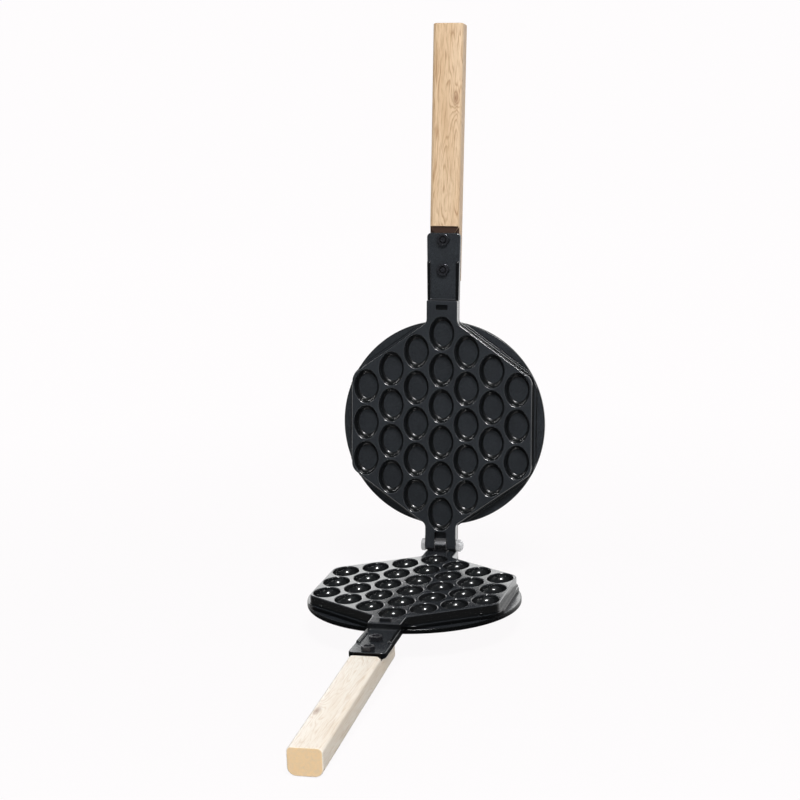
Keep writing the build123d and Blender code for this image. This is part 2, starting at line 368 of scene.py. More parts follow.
def oval(width, length, height, centre, count):
    """Points round an oval of four arcs that meet at 45 degrees."""
    shift = (length - width) / 2 / (2 - sqrt(2))
    end_radius = length / 2 - shift
    side_radius = width / 2 + shift
    points = []
    for i in range(count):
        angle = 2 * pi * (i + 0.5) / count
        x, y = cos(angle), sin(angle)
        if abs(x) > abs(y):
            spot = Vector((side_radius * x - copysign(shift, x), side_radius * y))
        else:
            spot = Vector((end_radius * x, end_radius * y + copysign(shift, y)))
        points.append(Vector((spot.x + centre[0], spot.y + centre[1], height)))
    return points


def quarter_turn(steps):
    """Angles from 0 to a right angle."""
    return [pi / 2 * i / steps for i in range(steps + 1)]


def curve(start, middle, end, steps):
    """Points of a quadratic curve, without its first."""
    return [
        tuple((1 - t) ** 2 * a + 2 * t * (1 - t) * b + t**2 * c for a, b, c in zip(start, middle, end))
        for t in [(k + 1) / steps for k in range(steps)]
    ]


def upright(x, y, height):
    """An outline drawn in x and y, with its levels along z."""
    return Vector((x, y, height))


def across(y, z, x):
    """An outline drawn in y and z, with its levels along x."""
    return Vector((x, y, z))


def layered(points, levels, place=upright, reach=None, grid=None):
    """A solid through offset copies of an outline; levels are (offset, height).

    With a reach, points further from the middle than that are pulled in to it."""
    rings = []
    for offset, height in levels:
        ring = []
        for point, normal in points:
            spot = point + normal * offset
            if reach and spot.length > reach(offset):
                spot = spot.normalized() * reach(offset)
            ring.append(place(spot.x, spot.y, height))
        rings.append(ring)
    return solid(rings, grid)


def rounded(low, high, low_fillet, high_fillet, steps=4, swell=0.0):
    """Levels of a wall from low to high, its two edges rounded, that stands out by the swell."""
    foot, head = (
        [
            (swell + fillet * (sin(angle) - 1), start + sign * fillet * (1 - cos(angle)))
            for angle in quarter_turn(steps)
        ]
        for fillet, start, sign in ((low_fillet, low, 1), (high_fillet, high, -1))
    )
    return foot + head[::-1]


def block(low, high, corner=0.5, edge=0.4):
    """An upright block with rounded edges."""
    (x0, y0, z0), (x1, y1, z1) = low, high
    corners = [(x0, y0, corner), (x1, y0, corner), (x1, y1, corner), (x0, y1, corner)]
    return layered(outline(corners), rounded(z0, z1, edge, edge, steps=3))


# ---------------------------------------------------------------- castings


def cell_solid(profile, grow, centre, count=64):
    """An oval solid whose (share of the way from rim size to floor size, height) profile is given."""
    rings = []
    for share, height in profile:
        width = CELL_WIDTH + share * (CELL_FLOOR_WIDTH - CELL_WIDTH) + 2 * grow
        length = CELL_LENGTH + share * (CELL_FLOOR_LENGTH - CELL_LENGTH) + 2 * grow
        rings.append(oval(width, length, height, centre, count))
    return solid(rings)


def pocket_profile():
    """Rounded rim, a wall that bends inward like a bowl's, and a floor that it runs into in a soft curve."""
    rim, rim_width, rim_height = -0.16, 0.26, 0.9
    wall_bend = (0.4, -4.7)
    wall_end = (0.9, -6.45)
    floor_end = (1.18, -CELL_DEPTH)
    profile = [(rim, 1.0)]
    for angle in [k * radians(12) for k in range(8)]:
        profile.append((rim + rim_width * sin(angle), rim_height * (cos(angle) - 1)))
    profile += curve(profile[-1], (0.12, -3.1), wall_bend, 5)
    profile += curve(wall_bend, (0.545, -5.6), wall_end, 5)
    profile += curve(wall_end, (1.12, -CELL_DEPTH), floor_end, 5)
    return profile


def dome_profile():
    """The outside of a cell in the open back."""
    top = -CELL_DEPTH - CELL_FLOOR_THICKNESS
    wall_end = (0.78, -6.9)
    profile = [(0.3, -3.6), (0.36, -WEB_THICKNESS), (0.5, -WEB_THICKNESS - 0.9), wall_end]
    return profile + curve(wall_end, (1.0, top), (1.6, top), 6)


def hexagon(apex_radius=APEX_RADIUS):
    """The plate without its necks."""
    corners = [
        (0, -APEX, apex_radius),
        (HALF_WIDTH, -CORNER_Y, CORNER_RADIUS),
        (HALF_WIDTH, CORNER_Y, CORNER_RADIUS),
        (0, APEX, apex_radius),
        (-HALF_WIDTH, CORNER_Y, CORNER_RADIUS),
        (-HALF_WIDTH, -CORNER_Y, CORNER_RADIUS),
    ]
    return outline(corners, spacing=2.5)


def plate_with_necks(neck_reach):
    """The cooking face's outline with both necks, blended in."""
    right = [
        (NECK_HALF_WIDTH, -HANDLE_NECK_REACH, NECK_CORNER),
        (NECK_HALF_WIDTH, -NECK_ROOT_Y, NECK_FILLET),
        (HALF_WIDTH, -CORNER_Y, CORNER_RADIUS),
        (HALF_WIDTH, CORNER_Y, CORNER_RADIUS),
        (NECK_HALF_WIDTH, NECK_ROOT_Y, NECK_FILLET),
        (NECK_HALF_WIDTH, neck_reach, NECK_CORNER),
    ]
    left = [(-x, y, radius) for x, y, radius in reversed(right)]
    return outline(right + left)


def skirt():
    """The foot of the plate's wall, which sweeps out on to the plinth."""
    levels = [(-0.05, -HEXAGON_DEPTH + SKIRT_FLARE + 0.05)]
    for angle in quarter_turn(5):
        levels.append((SKIRT_FLARE * (1 - cos(angle)), -HEXAGON_DEPTH + SKIRT_FLARE * (1 - sin(angle))))
    levels.append((SKIRT_FLARE, -HEXAGON_DEPTH - 0.5))
    return layered(hexagon(), levels[::-1], grid=CAP_GRID)


def plinth():
    """The wider hexagon behind the plate, kept inside the fire ring."""
    return layered(
        hexagon(),
        rounded(-NECK_DEPTH - 0.4, -HEXAGON_DEPTH, 0.1, 0.9, swell=PLINTH_STEP),
        reach=lambda offset: RING_RADIUS - 0.4 + offset - PLINTH_STEP,
        grid=CAP_GRID,
    )


def fire_ring():
    """The round flange that rests on the burner, solid as yet."""
    return layered(circle(RING_RADIUS), rounded(-CASTING_DEPTH, -NECK_DEPTH, 0.8, 0.9), grid=CAP_GRID)


def back_hollow():
    """What the open back leaves out up to the web, inside the plate's wall and the ring's."""
    return layered(
        hexagon(HOLLOW_APEX_RADIUS),
        rounded(-CASTING_DEPTH - 1, -WEB_THICKNESS, 0.1, 1.2, swell=-PLATE_WALL),
        reach=lambda offset: RING_RADIUS - RING_WALL + offset + PLATE_WALL,
        grid=CAP_GRID,
    )


def lip_hollow():
    """The round opening inside the ring's lip."""
    levels = rounded(-CASTING_DEPTH - 1, -CASTING_DEPTH + RING_LIP, 0.1, 0.3)
    return layered(circle(RING_RADIUS - RING_WALL), levels, grid=CAP_GRID)


def concave_strip(start, foot, radius, half_length):
    """A hollow fillet along x between an upright face at y = start and a flat at z = foot, on the -y side."""
    sunk = 0.4
    points = [(start + sunk, foot - sunk), (start + sunk, foot + radius)]
    for angle in quarter_turn(5):
        points.append((start - radius + radius * cos(angle), foot + radius - radius * sin(angle)))
    points.append((start - radius, foot - sunk))
    return layered(polygon(points[::-1]), [(0, -half_length), (0, half_length)], across)


def bracket_half(y):
    """Half the bracket's width at a distance y: it widens towards its free end."""
    share = (-HANDLE_NECK_REACH - y) / (-HANDLE_NECK_REACH - BRACKET_END)
    return BRACKET_NECK_HALF + share * (BRACKET_END_HALF - BRACKET_NECK_HALF)


def bracket():
    """The handle bracket's solids: plate, two flanges behind, two rails in front with a post at each end."""
    root, face = -HANDLE_NECK_REACH + 0.5, -BRACKET_DROP
    plate = [
        (-BRACKET_END_HALF, BRACKET_END, BRACKET_CORNER),
        (BRACKET_END_HALF, BRACKET_END, BRACKET_CORNER),
        (BRACKET_NECK_HALF, root, 1.0),
        (-BRACKET_NECK_HALF, root, 1.0),
    ]
    solids = [layered(outline(plate), rounded(face - BRACKET_PLATE, face, 0.2, 0.6))]
    for side in (-1, 1):
        inner, outer = side * FLANGE_INNER_X, side * BRACKET_END_HALF
        flange = [
            (inner, BRACKET_END, 0.8),
            (outer, BRACKET_END, BRACKET_CORNER),
            (side * BRACKET_NECK_HALF, root, 1.0),
            (inner, root, 0.8),
        ]
        solids.append(layered(outline(flange[::side]), rounded(face - FLANGE_DEPTH, face - 0.8, 0.5, 0.1)))
        inner, outer = side * RAIL_INNER_X, side * bracket_half(RAIL_END)
        rail = [
            (inner, RAIL_END, 1.5),
            (outer, RAIL_END, 1.5),
            (side * BRACKET_NECK_HALF, root, 1.0),
            (inner, root, 1.0),
        ]
        solids.append(layered(outline(rail[::side]), rounded(face - 1, face + RAIL_HEIGHT, 0.2, 0.55)))
        post = circle(POST_RADIUS, 24, (side * POST_X, RAIL_END + 1.2))
        solids.append(layered(post, rounded(face - 1, face + POST_HEIGHT, 0.3, 0.5)))
    solids.append(concave_strip(-HANDLE_NECK_REACH, face, 1.6, NECK_HALF_WIDTH - 1.3))
    return solids


def nub(side):
    """A small round stud on the slanted wall beside the handle neck."""
    centre = (side * NUB_X, EDGE_SLOPE * NUB_X - APEX)
    return layered(circle(NUB_RADIUS, 20, centre), rounded(-HEXAGON_DEPTH - 1, NUB_TOP, 0.1, 0.6))


def casting(neck_reach, fittings):
    """One cast half: plate, plinth, fire ring, open back, bracket, cells, and the fittings of its own."""
    body = layered(plate_with_necks(neck_reach), rounded(-NECK_DEPTH, 0, 0.6, 0.9), grid=CAP_GRID)
    unite(body, skirt(), plinth(), fire_ring())
    cut(body, back_hollow(), lip_hollow())
    # Domes of neighbouring columns run into each other, so every other column is joined on at a time
    for parity in (0, 1):
        domes = [
            cell_solid(dome_profile(), CELL_WALL, (x, y), 40)
            for column, x, y in CELLS
            if column % 2 == parity
        ]
        unite(body, joined(domes))
    unite(body, *bracket(), nub(-1), nub(1))
    cut(body, joined([cell_solid(pocket_profile(), 0, (x, y)) for _, x, y in CELLS]))
    return fittings(body)


def hinge_cylinder(radius, count, axis_height, half_length):
    """A plain cylinder along the hinge axis, to cut with."""
    round_section = circle(radius, count, (HINGE_DISTANCE, axis_height))
    return layered(round_section, [(0, -half_length), (0, half_length)], across)


def lower_fittings(body):
    """Knuckle for the hinge bolt and the locating boss."""
    low, high = HINGE_DISTANCE - KNUCKLE_RADIUS, HINGE_DISTANCE + KNUCKLE_RADIUS
    top, corner = LOWER_AXIS_HEIGHT + KNUCKLE_RADIUS, KNUCKLE_RADIUS - 0.01
    knuckle = outline([(low, -1, 0.5), (high, -1, 0.5), (high, top, corner), (low, top, corner)])
    unite(body, layered(knuckle, rounded(-KNUCKLE_HALF_WIDTH, KNUCKLE_HALF_WIDTH, 0.5, 0.5), across))
    cut(body, hinge_cylinder(BOLT_RADIUS + BORE_CLEARANCE, 32, LOWER_AXIS_HEIGHT, 6))
    return unite(body, block(*BOSS, 0.7, 0.6))


def upper_fittings(body):
    """Two ears either side of the knuckle, a relief for it and the locating slot."""
    # The ears' heels end just short of the lower neck when the lid is open
    heel = LOWER_AXIS_HEIGHT - HEEL_CLEARANCE + (NECK_DEPTH - UPPER_AXIS_HEIGHT) * cos(OPEN_ANGLE)
    heel /= sin(OPEN_ANGLE)
    root, end = UPPER_NECK_REACH - 3, HINGE_DISTANCE + heel
    ear = outline(
        [
            (root, -NECK_DEPTH, 0.5),
            (end, -NECK_DEPTH, 0.5),
            (end, 0, min(heel, UPPER_AXIS_HEIGHT) - 0.01),
            (root, 0, 0.5),
        ]
    )
    for x0, x1 in ((-NECK_HALF_WIDTH, -EAR_INNER_X), (EAR_INNER_X, NECK_HALF_WIDTH)):
        unite(body, layered(ear, rounded(x0, x1, 0.5, 0.5), across))
    gap_low = (-EAR_INNER_X, UPPER_NECK_REACH - 6.4, -RELIEF_DEPTH)
    cut(body, block(gap_low, (EAR_INNER_X, UPPER_NECK_REACH + 1, 2), 1.5, 0.8))
    lip_low = (-EAR_INNER_X - 1, UPPER_NECK_REACH - 2, -NECK_DEPTH)
    lip = block(lip_low, (EAR_INNER_X + 1, UPPER_NECK_REACH + 2.6, -RELIEF_DEPTH), 0.3, 0.3)
    unite(body, cut(lip, hinge_cylinder(RELIEF_RADIUS, 64, -UPPER_AXIS_HEIGHT, 8)))
    cut(body, hinge_cylinder(BOLT_RADIUS + BORE_CLEARANCE, 32, -UPPER_AXIS_HEIGHT, 20))
    return cut(body, block(*SLOT, 0.8, 0.5))


# ---------------------------------------------------------------- handles and bolts


def grip_point(x, depth, along):
    """A point of the grip from its cross-section and its distance past the shoulder."""
    return Vector(
        (
            x,
            SHOULDER - along * cos(HANDLE_TILT) - depth * sin(HANDLE_TILT),
            -HANDLE_FRONT_DROP - along * sin(HANDLE_TILT) + depth * cos(HANDLE_TILT),
        )
    )


def bar():
    """The whole length of the handle's wood, grip and tongue, before anything is cut from it."""
    half = HANDLE_HALF_WIDTH
    corners = [
        (-half, -HANDLE_THICKNESS, HANDLE_BACK_ROUND),
        (half, -HANDLE_THICKNESS, HANDLE_BACK_ROUND),
        (half, 0, HANDLE_FRONT_ROUND),
        (-half, 0, HANDLE_FRONT_ROUND),
    ]
    section = outline(corners, spacing=3)
    rings = []
    for offset, along in rounded(-TONGUE_LENGTH, HANDLE_LENGTH, 0.3, 1.2, steps=5):
        rings.append([grip_point(*(point + normal * offset), along) for point, normal in section])
    body = solid(rings)
    # The grip narrows towards its shoulder
    for vertex in body.data.vertices:
        share = min(1, max(0, (SHOULDER - vertex.co.y) / HANDLE_LENGTH))
        vertex.co.x *= (HANDLE_SHOULDER_HALF + (half - HANDLE_SHOULDER_HALF) * share) / half
    return body


def handle():
    """The wooden grip, its tongue under the bracket and the seats of its two bolts."""
    body = bar()
    plate_seat = -BRACKET_DROP - BRACKET_PLATE - TONGUE_CLEARANCE
    flange_seat = -BRACKET_DROP - FLANGE_DEPTH - TONGUE_CLEARANCE
    # Places that the cutters reach to, clear of the wood
    above, beyond = 20, SHOULDER + 90
    cut(body, block((-40, SHOULDER, plate_seat), (40, beyond, above), 0.3, 0.3))
    for side in (-1, 1):
        ridge = side * (FLANGE_INNER_X - TONGUE_CLEARANCE)
        edge, outside = side * HANDLE_HALF_WIDTH, side * 2 * HANDLE_HALF_WIDTH
        corners = [
            (ridge, BRACKET_END, 0.4),
            (edge, SHOULDER, 0.4),
            (outside, SHOULDER, 0.4),
            (outside, beyond, 0.4),
            (ridge, beyond, 0.4),
        ]
        cut(body, layered(outline(corners[::side]), [(0, flange_seat), (0, above)]))
    front = -HANDLE_FRONT_DROP
    bevel = polygon([(SHOULDER - 0.7, front + 0.4), (SHOULDER + 1, front - 1.3), (SHOULDER + 1, 2)])
    cut(body, layered(bevel, [(0, -20), (0, 20)], across))
    for y in HANDLE_BOLTS:
        cut(body, layered(circle(COUNTERBORE_RADIUS, 48, (0, y)), [(0, BOLT_SEAT - 30), (0, BOLT_SEAT)]))
        cut(body, layered(circle(BOLT_HOLE_RADIUS, 32, (0, y)), [(0, BOLT_SEAT - 2), (0, 2)]))
    return body


def hexagon_blank(height):
    """A hexagonal block from z = 0 whose two ends are turned down at the corners."""
    radius = ACROSS_FLATS / sqrt(3)
    corners = [(radius * cos(pi / 3 * i), radius * sin(pi / 3 * i), 0.25) for i in range(6)]
    body = layered(outline(corners), [(0, 0), (0, height)])
    flat = ACROSS_FLATS / 2 * 0.97
    drop = (radius - flat) * 0.5
    levels = [(0, 0), (radius - flat, drop), (radius - flat, height - drop), (0, height)]
    return combine(body, layered(circle(flat, 96), levels), "INTERSECT")


def bolt(shank):
    """A hexagon-headed bolt, with the thread's ridges at its end."""
    z = shank - THREAD_LENGTH
    levels = [(0, -0.4), (0, z)]
    while z < shank - BOLT_TIP:
        for share, depth in ((0.3, THREAD_DEPTH), (0.5, THREAD_DEPTH), (0.8, 0), (1.0, 0)):
            levels.append((-depth, z + share * THREAD_PITCH))
        z += THREAD_PITCH
    levels.append((-TIP_CHAMFER, shank))
    body = layered(circle(BOLT_RADIUS, 40), levels)
    cap = hexagon_blank(BOLT_HEAD)
    cap.data.transform(Matrix.Translation((0, 0, -BOLT_HEAD)))
    return unite(body, cap)


def nut(height, collar=0.0):
    """A hexagon nut on z = 0; a collar makes it a lock nut."""
    body = hexagon_blank(height - collar)
    if collar:
        unite(body, layered(circle(COLLAR_RADIUS, 48), rounded(height - collar - 1, height, 0.1, 0.7)))
    chamfer = 0.6
    levels = [
        (chamfer, -1),
        (chamfer, 0),
        (0, chamfer),
        (0, height - chamfer),
        (chamfer, height),
        (chamfer, height + 1),
    ]
    return cut(body, layered(circle(BOLT_RADIUS + NUT_BORE_CLEARANCE, 40), levels))


# ---------------------------------------------------------------- materials


class Nodes:
    """Adds and links the nodes of one material or world."""

    def __init__(self, owner):
        owner.use_nodes = True
        self.tree = owner.node_tree
        self.tree.nodes.clear()

    def add(self, kind, inputs=None, **settings):
        node = self.tree.nodes.new(kind)
        for name, value in settings.items():
            setattr(node, name, value)
        for name, value in (inputs or {}).items():
            if isinstance(value, bpy.types.NodeSocket):
                self.tree.links.new(value, node.inputs[name])
            else:
                node.inputs[name].default_value = value
        return node

    def ramp(self, factor, stops):
        """Blends between (position, value) stops, whose values are colours or plain greys."""
        node = self.add("ShaderNodeValToRGB", {"Fac": factor})
        elements = node.color_ramp.elements
        while len(elements) < len(stops):
            elements.new(0.5)
        for element, (position, value) in zip(elements, stops):
            element.position = position
            grey = isinstance(value, (int, float))
            element.color = (value, value, value, 1) if grey else (*value[:3], 1)
        return node.outputs["Color"]

    def math(self, operation, first, second=0.0, third=0.0, clamp=False):
        inputs = {0: first, 1: second, 2: third}
        return self.add("ShaderNodeMath", inputs, operation=operation, use_clamp=clamp).outputs["Value"]

    def mix(self, factor, first, second):
        """Two colours mixed; the node has its colour sockets at 6 and 7, and their result at 2."""
        inputs = {0: factor, 6: first, 7: second}
        return self.add("ShaderNodeMix", inputs, data_type="RGBA").outputs[2]

    def difference(self, first, second):
        inputs = {0: first, 1: second}
        return self.add("ShaderNodeVectorMath", inputs, operation="SUBTRACT").outputs["Vector"]

    def length(self, vector):
        return self.add("ShaderNodeVectorMath", {0: vector}, operation="LENGTH").outputs["Value"]

    def separate(self, vector):
        """The vector's outputs by axis letter."""
        return self.add("ShaderNodeSeparateXYZ", {0: vector}).outputs

    def noise(self, vector, scale, detail=2.0, roughness=0.5, distortion=0.0):
        inputs = {
            "Vector": vector,
            "Scale": scale,
            "Detail": detail,
            "Roughness": roughness,
            "Distortion": distortion,
        }
        return self.add("ShaderNodeTexNoise", inputs).outputs["Fac"]

    def stretched(self, vector, scale, location=(0, 0, 0)):
        node = self.add("ShaderNodeMapping", {"Vector": vector, "Scale": scale, "Location": location})
        return node.outputs["Vector"]

    def bump(self, height, strength, distance, normal=None):
        inputs = {"Height": height, "Strength": strength, "Distance": distance}
        if normal:
            inputs["Normal"] = normal
        return self.add("ShaderNodeBump", inputs).outputs["Normal"]

    def surface(self, inputs):
        """The material's own shader."""
        self.finish(self.add("ShaderNodeBsdfPrincipled", inputs).outputs["BSDF"])

    def finish(self, shader):
        self.add("ShaderNodeOutputMaterial", {"Surface": shader})


def colour(red, green, blue):
    """A colour written in screen values 0 to 255, as the linear values Blender takes."""
    shares = [value / 255 for value in (red, green, blue)]
    linear = [v / 12.92 if v <= 10 / 255 else ((v + 0.055) / 1.055) ** 2.4 for v in shares]
    return (*linear, 1.0)


def coating_material():
    """Dark non-stick coating on a cast surface."""
    material = bpy.data.materials.new("coating")
    nodes = Nodes(material)
    coordinates = nodes.add("ShaderNodeTexCoord").outputs
    place = coordinates["Object"]
    where, facing = nodes.separate(place), nodes.separate(coordinates["Normal"])
    grain = nodes.noise(place, 1400, 3, 0.6)
    cloud = nodes.noise(place, 26, 4, 0.55)
    speckle = nodes.ramp(grain, [(0.35, colour(14, 15, 17)), (0.75, colour(82, 87, 93))])
    tone = nodes.ramp(cloud, [(0.3, colour(31, 33, 36)), (0.7, colour(41, 44, 48))])
    tone = nodes.mix(0.3, tone, speckle)
    # Painted shade: walls, edges and the slot's floor are near black in place of the flats' tone, for the
    # shade in recesses and on faces turned from the light. The slot's mask takes in every flat 0.8 to 5.8 mm
    # behind the cooking face. Walls are glossier too, down to the foot of the cells
    level = nodes.math("ABSOLUTE", facing["Z"])
    above_floors = nodes.math("GREATER_THAN", where["Z"], -0.0068)
    smooth = nodes.math("MULTIPLY", nodes.ramp(level, [(0.9, 1), (0.985, 0)]), above_floors)
    slot = nodes.math("COMPARE", where["Z"], -0.0033, 0.0025)
    flat = nodes.math("SUBTRACT", nodes.ramp(level, [(0.9, 0), (0.98, 1)]), slot, clamp=True)
    tone = nodes.mix(flat, colour(4, 5, 6), tone)
    # Painted highlight: the rounded edges of the cooking face and the bracket are lightened, for the light
    # they catch
    on_face = nodes.math("GREATER_THAN", where["Z"], -0.001)
    on_bracket = nodes.math("LESS_THAN", where["Y"], -0.1115)
    edge = nodes.ramp(facing["Z"], [(0.2, 0), (0.4, 1), (0.93, 1), (0.985, 0)])
    edge_highlight = nodes.math("MULTIPLY", nodes.math("MAXIMUM", on_face, on_bracket), edge)
    tone = nodes.mix(nodes.math("MULTIPLY", edge_highlight, 0.4), tone, colour(80, 83, 88))
    # Painted highlight: the top of the knuckle is given a light, metallic colour, for the bright highlight on
    # it
    knuckle_top_highlight = nodes.math("GREATER_THAN", where["Z"], 0.0072)
    tone = nodes.mix(knuckle_top_highlight, tone, colour(185, 185, 188))
    ripple = nodes.bump(nodes.noise(place, 120, 2), 0.02, 0.001)
    nodes.surface(
        {
            "Base Color": tone,
            "Roughness": nodes.ramp(nodes.noise(place, 60, 3, 0.6), [(0.3, 0.2), (0.7, 0.26)]),
            "Metallic": nodes.math("MULTIPLY", knuckle_top_highlight, 0.8),
            "Specular IOR Level": 0.5,
            "Coat Weight": smooth,
            "Coat Roughness": 0.2,
            "Coat IOR": 2.0,
            "Normal": nodes.bump(grain, 0.14, 0.0002, ripple),
        }
    )
    return material


def wood_material(name, light, middle, dark, end_grain, roughness):
    """Pale wood: thin wavy growth lines along the handle, broken into dashes, round a small knot."""
    material = bpy.data.materials.new(name)
    nodes = Nodes(material)
    coordinates = nodes.add("ShaderNodeTexCoord").outputs
    place = coordinates["Object"]
    where, facing = nodes.separate(place), nodes.separate(coordinates["Normal"])
    # The growth lines are contours of a stretched noise, which swells at the knot
    knot = nodes.length(nodes.stretched(nodes.difference(place, KNOT), (1.0, 0.4, 0.3)))
    swell = nodes.math("SUBTRACT", 1.0, nodes.math("MULTIPLY", knot, 110.0), clamp=True)
    swell = nodes.math("MULTIPLY", nodes.math("MULTIPLY", swell, swell), 0.1)
    flow = nodes.stretched(place, (1.0, 0.1, 1.0), (0.021, 0.0, 0.034))
    height = nodes.math("ADD", nodes.noise(flow, 30, 4, 0.5, 0.5), swell)
    lines = nodes.math("FRACT", nodes.math("MULTIPLY", height, 42.0))
    lines = nodes.ramp(lines, [(0.45, 0), (0.82, 1), (1.0, 0.1)])
    breaks = nodes.noise(nodes.stretched(place, (1.0, 0.22, 1.0)), 230, 2, 0.5)
    breaks = nodes.ramp(breaks, [(0.38, 0.1), (0.62, 1)])
    broad = nodes.noise(nodes.stretched(place, (1.0, 0.1, 1.0), (0.3, 0.1, 0.0)), 90, 3, 0.5)
    fibres = nodes.noise(nodes.stretched(place, (1.0, 0.035, 1.0)), 1300, 3, 0.6)
    tone = nodes.mix(nodes.ramp(broad, [(0.35, 0), (0.65, 1)]), light, middle)
    tone = nodes.mix(nodes.math("MULTIPLY", nodes.math("MULTIPLY", lines, breaks), 0.75), tone, dark)
    tone = nodes.mix(nodes.ramp(fibres, [(0.5, 0), (0.68, 0.45)]), tone, dark)
    tone = nodes.mix(nodes.ramp(knot, [(0.0009, 0.8), (0.002, 0)]), tone, colour(140, 100, 68))
    # Open ends of the fibres
    mottle = nodes.noise(place, 420, 3, 0.6)
    ends = nodes.mix(nodes.ramp(mottle, [(0.42, 0), (0.7, 0.45)]), end_grain, dark)
    at_end = nodes.math("GREATER_THAN", nodes.math("ABSOLUTE", facing["Y"]), 0.9)
    tone = nodes.mix(at_end, tone, ends)
    # Painted shade: the front of the tongue past the shoulder is dark brown, for the shade in the recess
    # between shoulder and bracket
    past_shoulder = nodes.math("GREATER_THAN", where["Y"], SHOULDER / 1000)
    rebate_shade = nodes.math("MULTIPLY", past_shoulder, nodes.math("GREATER_THAN", facing["Z"], 0.9))
    tone = nodes.mix(rebate_shade, tone, colour(62, 42, 31))
    nodes.surface(
        {
            "Base Color": tone,
            "Roughness": nodes.ramp(fibres, [(0.3, roughness[0]), (0.7, roughness[1])]),
            "Specular IOR Level": 0.5,
            "Normal": nodes.bump(fibres, 0.08, 0.0003),
        }
    )
    return material


def steel_material(name, tint, roughness, metallic):
    """Turned and plated steel with faint tool marks."""
    material = bpy.data.materials.new(name)
    nodes = Nodes(material)
    place = nodes.add("ShaderNodeTexCoord").outputs["Object"]
    marks = nodes.noise(nodes.stretched(place, (1.0, 1.0, 6.0)), 900, 3, 0.6)
    shade = [value * 0.8 for value in tint]
    nodes.surface(
        {
            "Base Color": nodes.ramp(nodes.noise(place, 300, 3), [(0.3, shade), (0.7, tint)]),
            "Roughness": nodes.ramp(marks, [(0.3, roughness[0]), (0.7, roughness[1])]),
            "Metallic": metallic,
            "Normal": nodes.bump(marks, 0.1, 0.0002),
        }
    )
    return material


# ---------------------------------------------------------------- pieces


def finish_piece(piece, name, material, body, node, placement):
    """Turns a solid into a named piece of the object in place of its CAD node."""
    piece.name = name
    piece.data.name = name
    piece.data.transform(Matrix.Scale(0.001, 4))
    piece.data.materials.clear()
    piece.data.materials.append(material)
    piece.data.shade_smooth()
    piece.data.set_sharp_from_angle(angle=radians(38))
    weighted = piece.modifiers.new("weighted normals", "WEIGHTED_NORMAL")
    weighted.keep_sharp = True
    piece.matrix_world = placement
    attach(piece, body)
    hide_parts(node)


coating = coating_material()
woods = {
    # Painted light: both grips are one timber, and the lower grip's colours are a lighter copy of it, for the
    # light on its up-facing faces
    "lower": wood_material(
        "lit_wood",
        light=colour(247, 239, 227),
        middle=colour(240, 228, 212),
        dark=colour(220, 200, 176),
        end_grain=colour(243, 210, 164),
        roughness=(0.28, 0.38),
    ),
    "upper": wood_material(
        "wood",
        light=colour(222, 195, 162),
        middle=colour(211, 180, 144),
        dark=colour(158, 116, 78),
        end_grain=colour(226, 194, 154),
        roughness=(0.4, 0.5),
    ),
}
dark_steel = steel_material("dark_steel", colour(74, 74, 79), (0.2, 0.34), 0.8)
bright_steel = steel_material("bright_steel", colour(250, 250, 252), (0.16, 0.28), 0.4)

for half, neck_reach, fittings in (
    ("lower", LOWER_NECK_REACH, lower_fittings),
    ("upper", UPPER_NECK_REACH, upper_fittings),
):
    pan = casting(neck_reach, fittings)
    finish_piece(pan, f"{half}_casting", coating, half, f"{half}_pan", FRAMES[half])

for half, frame in FRAMES.items():
    finish_piece(handle(), f"{half}_grip", woods[half], half, f"{half}_handle", frame)
    for spot, y in zip(("inner", "outer"), HANDLE_BOLTS):
        for kind, made, z in (
            ("bolt", bolt(HANDLE_BOLT_SHANK), BOLT_SEAT),
            ("nut", nut(HANDLE_NUT_HEIGHT), -BRACKET_DROP),
        ):
            seat = frame @ Matrix.Translation((0, y / 1000, z / 1000))
            node = f"{half}_handle_{spot}_{kind}"
            finish_piece(made, f"{half}_{spot}_{kind}", dark_steel, half, node, seat)

ear_face = NECK_HALF_WIDTH + 0.1
along_x = Matrix.Rotation(pi / 2, 4, "Y")
for name, node, made, x in (
    ("hinge_pin", "hinge_bolt", bolt(2 * ear_face + HINGE_BOLT_EXCESS), -ear_face),
    ("hinge_lock_nut", "hinge_nut", nut(HINGE_NUT_HEIGHT, HINGE_NUT_COLLAR), ear_face),
):
    seat = Matrix.Translation((HINGE + Vector((x, 0, 0))) / 1000) @ along_x
    finish_piece(made, name, bright_steel, "upper", node, seat)


# ---------------------------------------------------------------- camera, floor and light


def make_camera():
    """A camera at the photograph's viewing angle."""
    data = bpy.data.cameras.new("camera")
    data.sensor_width = 36
    data.lens = CAMERA_LENS
    data.clip_start, data.clip_end = 0.05, 50
    camera = bpy.data.objects.new("camera", data)
    camera.location = CAMERA_LOCATION
    camera.rotation_euler = [radians(angle) for angle in CAMERA_DEGREES]
    bpy.context.scene.collection.objects.link(camera)
    bpy.context.scene.camera = camera


def softbox(name, location, aim, width, height, power, reflected=True):
    """A rectangular lamp that the camera doesn't see, but that the object may reflect."""
    data = bpy.data.lights.new(name, "AREA")
    data.shape = "RECTANGLE"
    data.size, data.size_y = width, height
    data.energy = power
    lamp = bpy.data.objects.new(name, data)
    lamp.location = location
    lamp.rotation_euler = (Vector(aim) - Vector(location)).to_track_quat("-Z", "Y").to_euler()
    lamp.visible_camera = False
    lamp.visible_glossy = reflected
    bpy.context.scene.collection.objects.link(lamp)


def seen_directly(nodes):
    """1 for rays that show a surface to the camera, straight or by a reflection, else 0."""
    path = nodes.add("ShaderNodeLightPath").outputs
    seen = nodes.math("MAXIMUM", path["Is Camera Ray"], path["Is Glossy Ray"])
    return nodes.math("MAXIMUM", seen, path["Is Transmission Ray"])


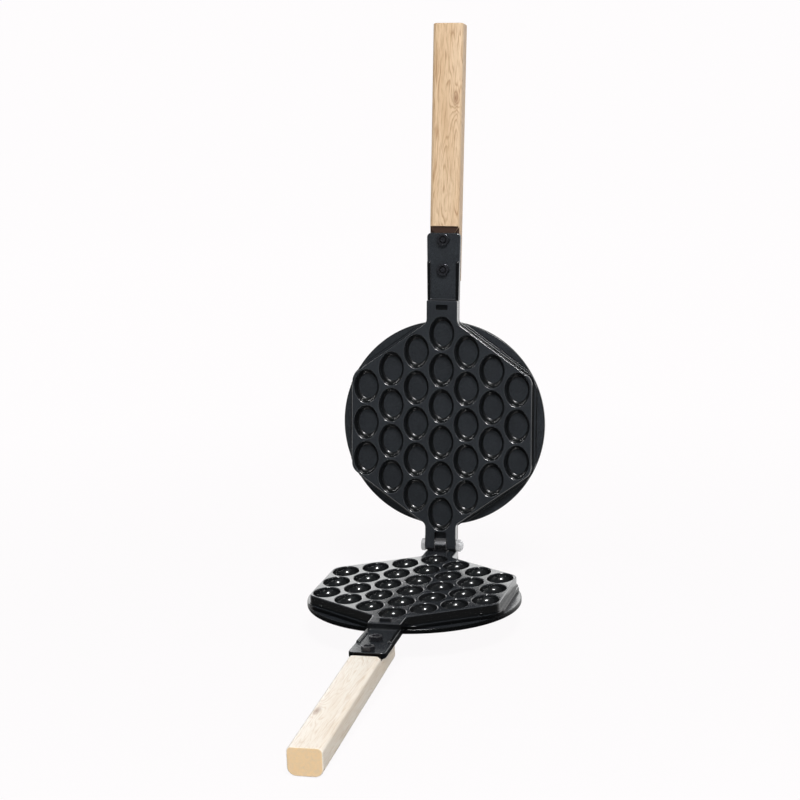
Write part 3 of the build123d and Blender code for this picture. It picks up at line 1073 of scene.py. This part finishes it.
def make_world():
    """White to the camera, dark beside the object in its reflections, and a low even fill."""
    world = bpy.data.worlds.new("studio")
    bpy.context.scene.world = world
    nodes = Nodes(world)
    direction = nodes.separate(nodes.add("ShaderNodeTexCoord").outputs["Generated"])
    from_front_to_back = nodes.math("MULTIPLY_ADD", direction["Y"], 0.5, 0.5)
    stops = [
        (0.03, (0.14, 0.155, 0.17)),
        (0.14, (0.06, 0.065, 0.07)),
        (0.8, (0.07, 0.075, 0.08)),
        (0.92, PAPER),
    ]
    reflected = nodes.ramp(from_front_to_back, stops)
    straight = nodes.add("ShaderNodeLightPath").outputs["Is Camera Ray"]
    backdrop = nodes.mix(straight, reflected, PAPER)
    shown = nodes.add("ShaderNodeBackground", {"Color": backdrop, "Strength": 1.0})
    fill = nodes.add("ShaderNodeBackground", {"Color": (1, 1, 1, 1), "Strength": 0.22})
    seen = seen_directly(nodes)
    mix = nodes.add("ShaderNodeMixShader", {0: seen, 1: fill.outputs[0], 2: shown.outputs[0]})
    nodes.add("ShaderNodeOutputWorld", {"Surface": mix.outputs[0]})


def make_floor():
    """A wide pale floor, level with the lowest point of the lower handle."""
    mesh = bmesh.new()
    bmesh.ops.create_grid(mesh, x_segments=1, y_segments=1, size=15)
    floor = to_object(mesh)
    floor.name = "floor"
    floor.location = (0, 0, cad_box[0].z - 0.0005)
    material = bpy.data.materials.new("floor")
    nodes = Nodes(material)
    matt = nodes.add("ShaderNodeBsdfDiffuse", {"Color": (0.7, 0.7, 0.7, 1)})
    place = nodes.add("ShaderNodeTexCoord").outputs["Object"]
    straight = nodes.add("ShaderNodeLightPath").outputs["Is Camera Ray"]
    # The paper in front of the object is flagged off from its reflections
    depth = nodes.math("ADD", nodes.separate(place)["Y"], 0.5)
    flagged = nodes.ramp(depth, [(0.5, 0.04), (0.72, 0.97)])
    paper = nodes.mix(straight, flagged, (1.0, 0.983, 0.99, 1))
    glow = nodes.add("ShaderNodeEmission", {"Color": paper, "Strength": 1.0})
    # The matt share, which takes the object's shadow, fades out away from the object
    away = nodes.ramp(nodes.length(place), [(0.3, 0.95), (0.9, 0.99)])
    share = nodes.math("MULTIPLY", seen_directly(nodes), nodes.mix(straight, (1, 1, 1, 1), away))
    mix = nodes.add("ShaderNodeMixShader", {0: share, 1: matt.outputs[0], 2: glow.outputs[0]})
    nodes.finish(mix.outputs[0])
    floor.data.materials.append(material)


make_camera()
make_world()
make_floor()
softbox("key", (0.55, -1.55, 2.05), (0, 0, 0.1), 0.6, 0.4, power=50)
softbox("fill", (-1.8, -1.2, 1.0), (0, 0, 0.1), 1.2, 1.2, power=5, reflected=False)
softbox("side", (1.9, -0.5, 0.8), (0, 0, 0.1), 1.2, 1.2, power=9, reflected=False)
softbox("rear", (-0.9, 2.2, 0.62), (0, 0, 0.05), 1.6, 0.7, power=6)
bpy.context.scene.view_settings.view_transform = "Standard"
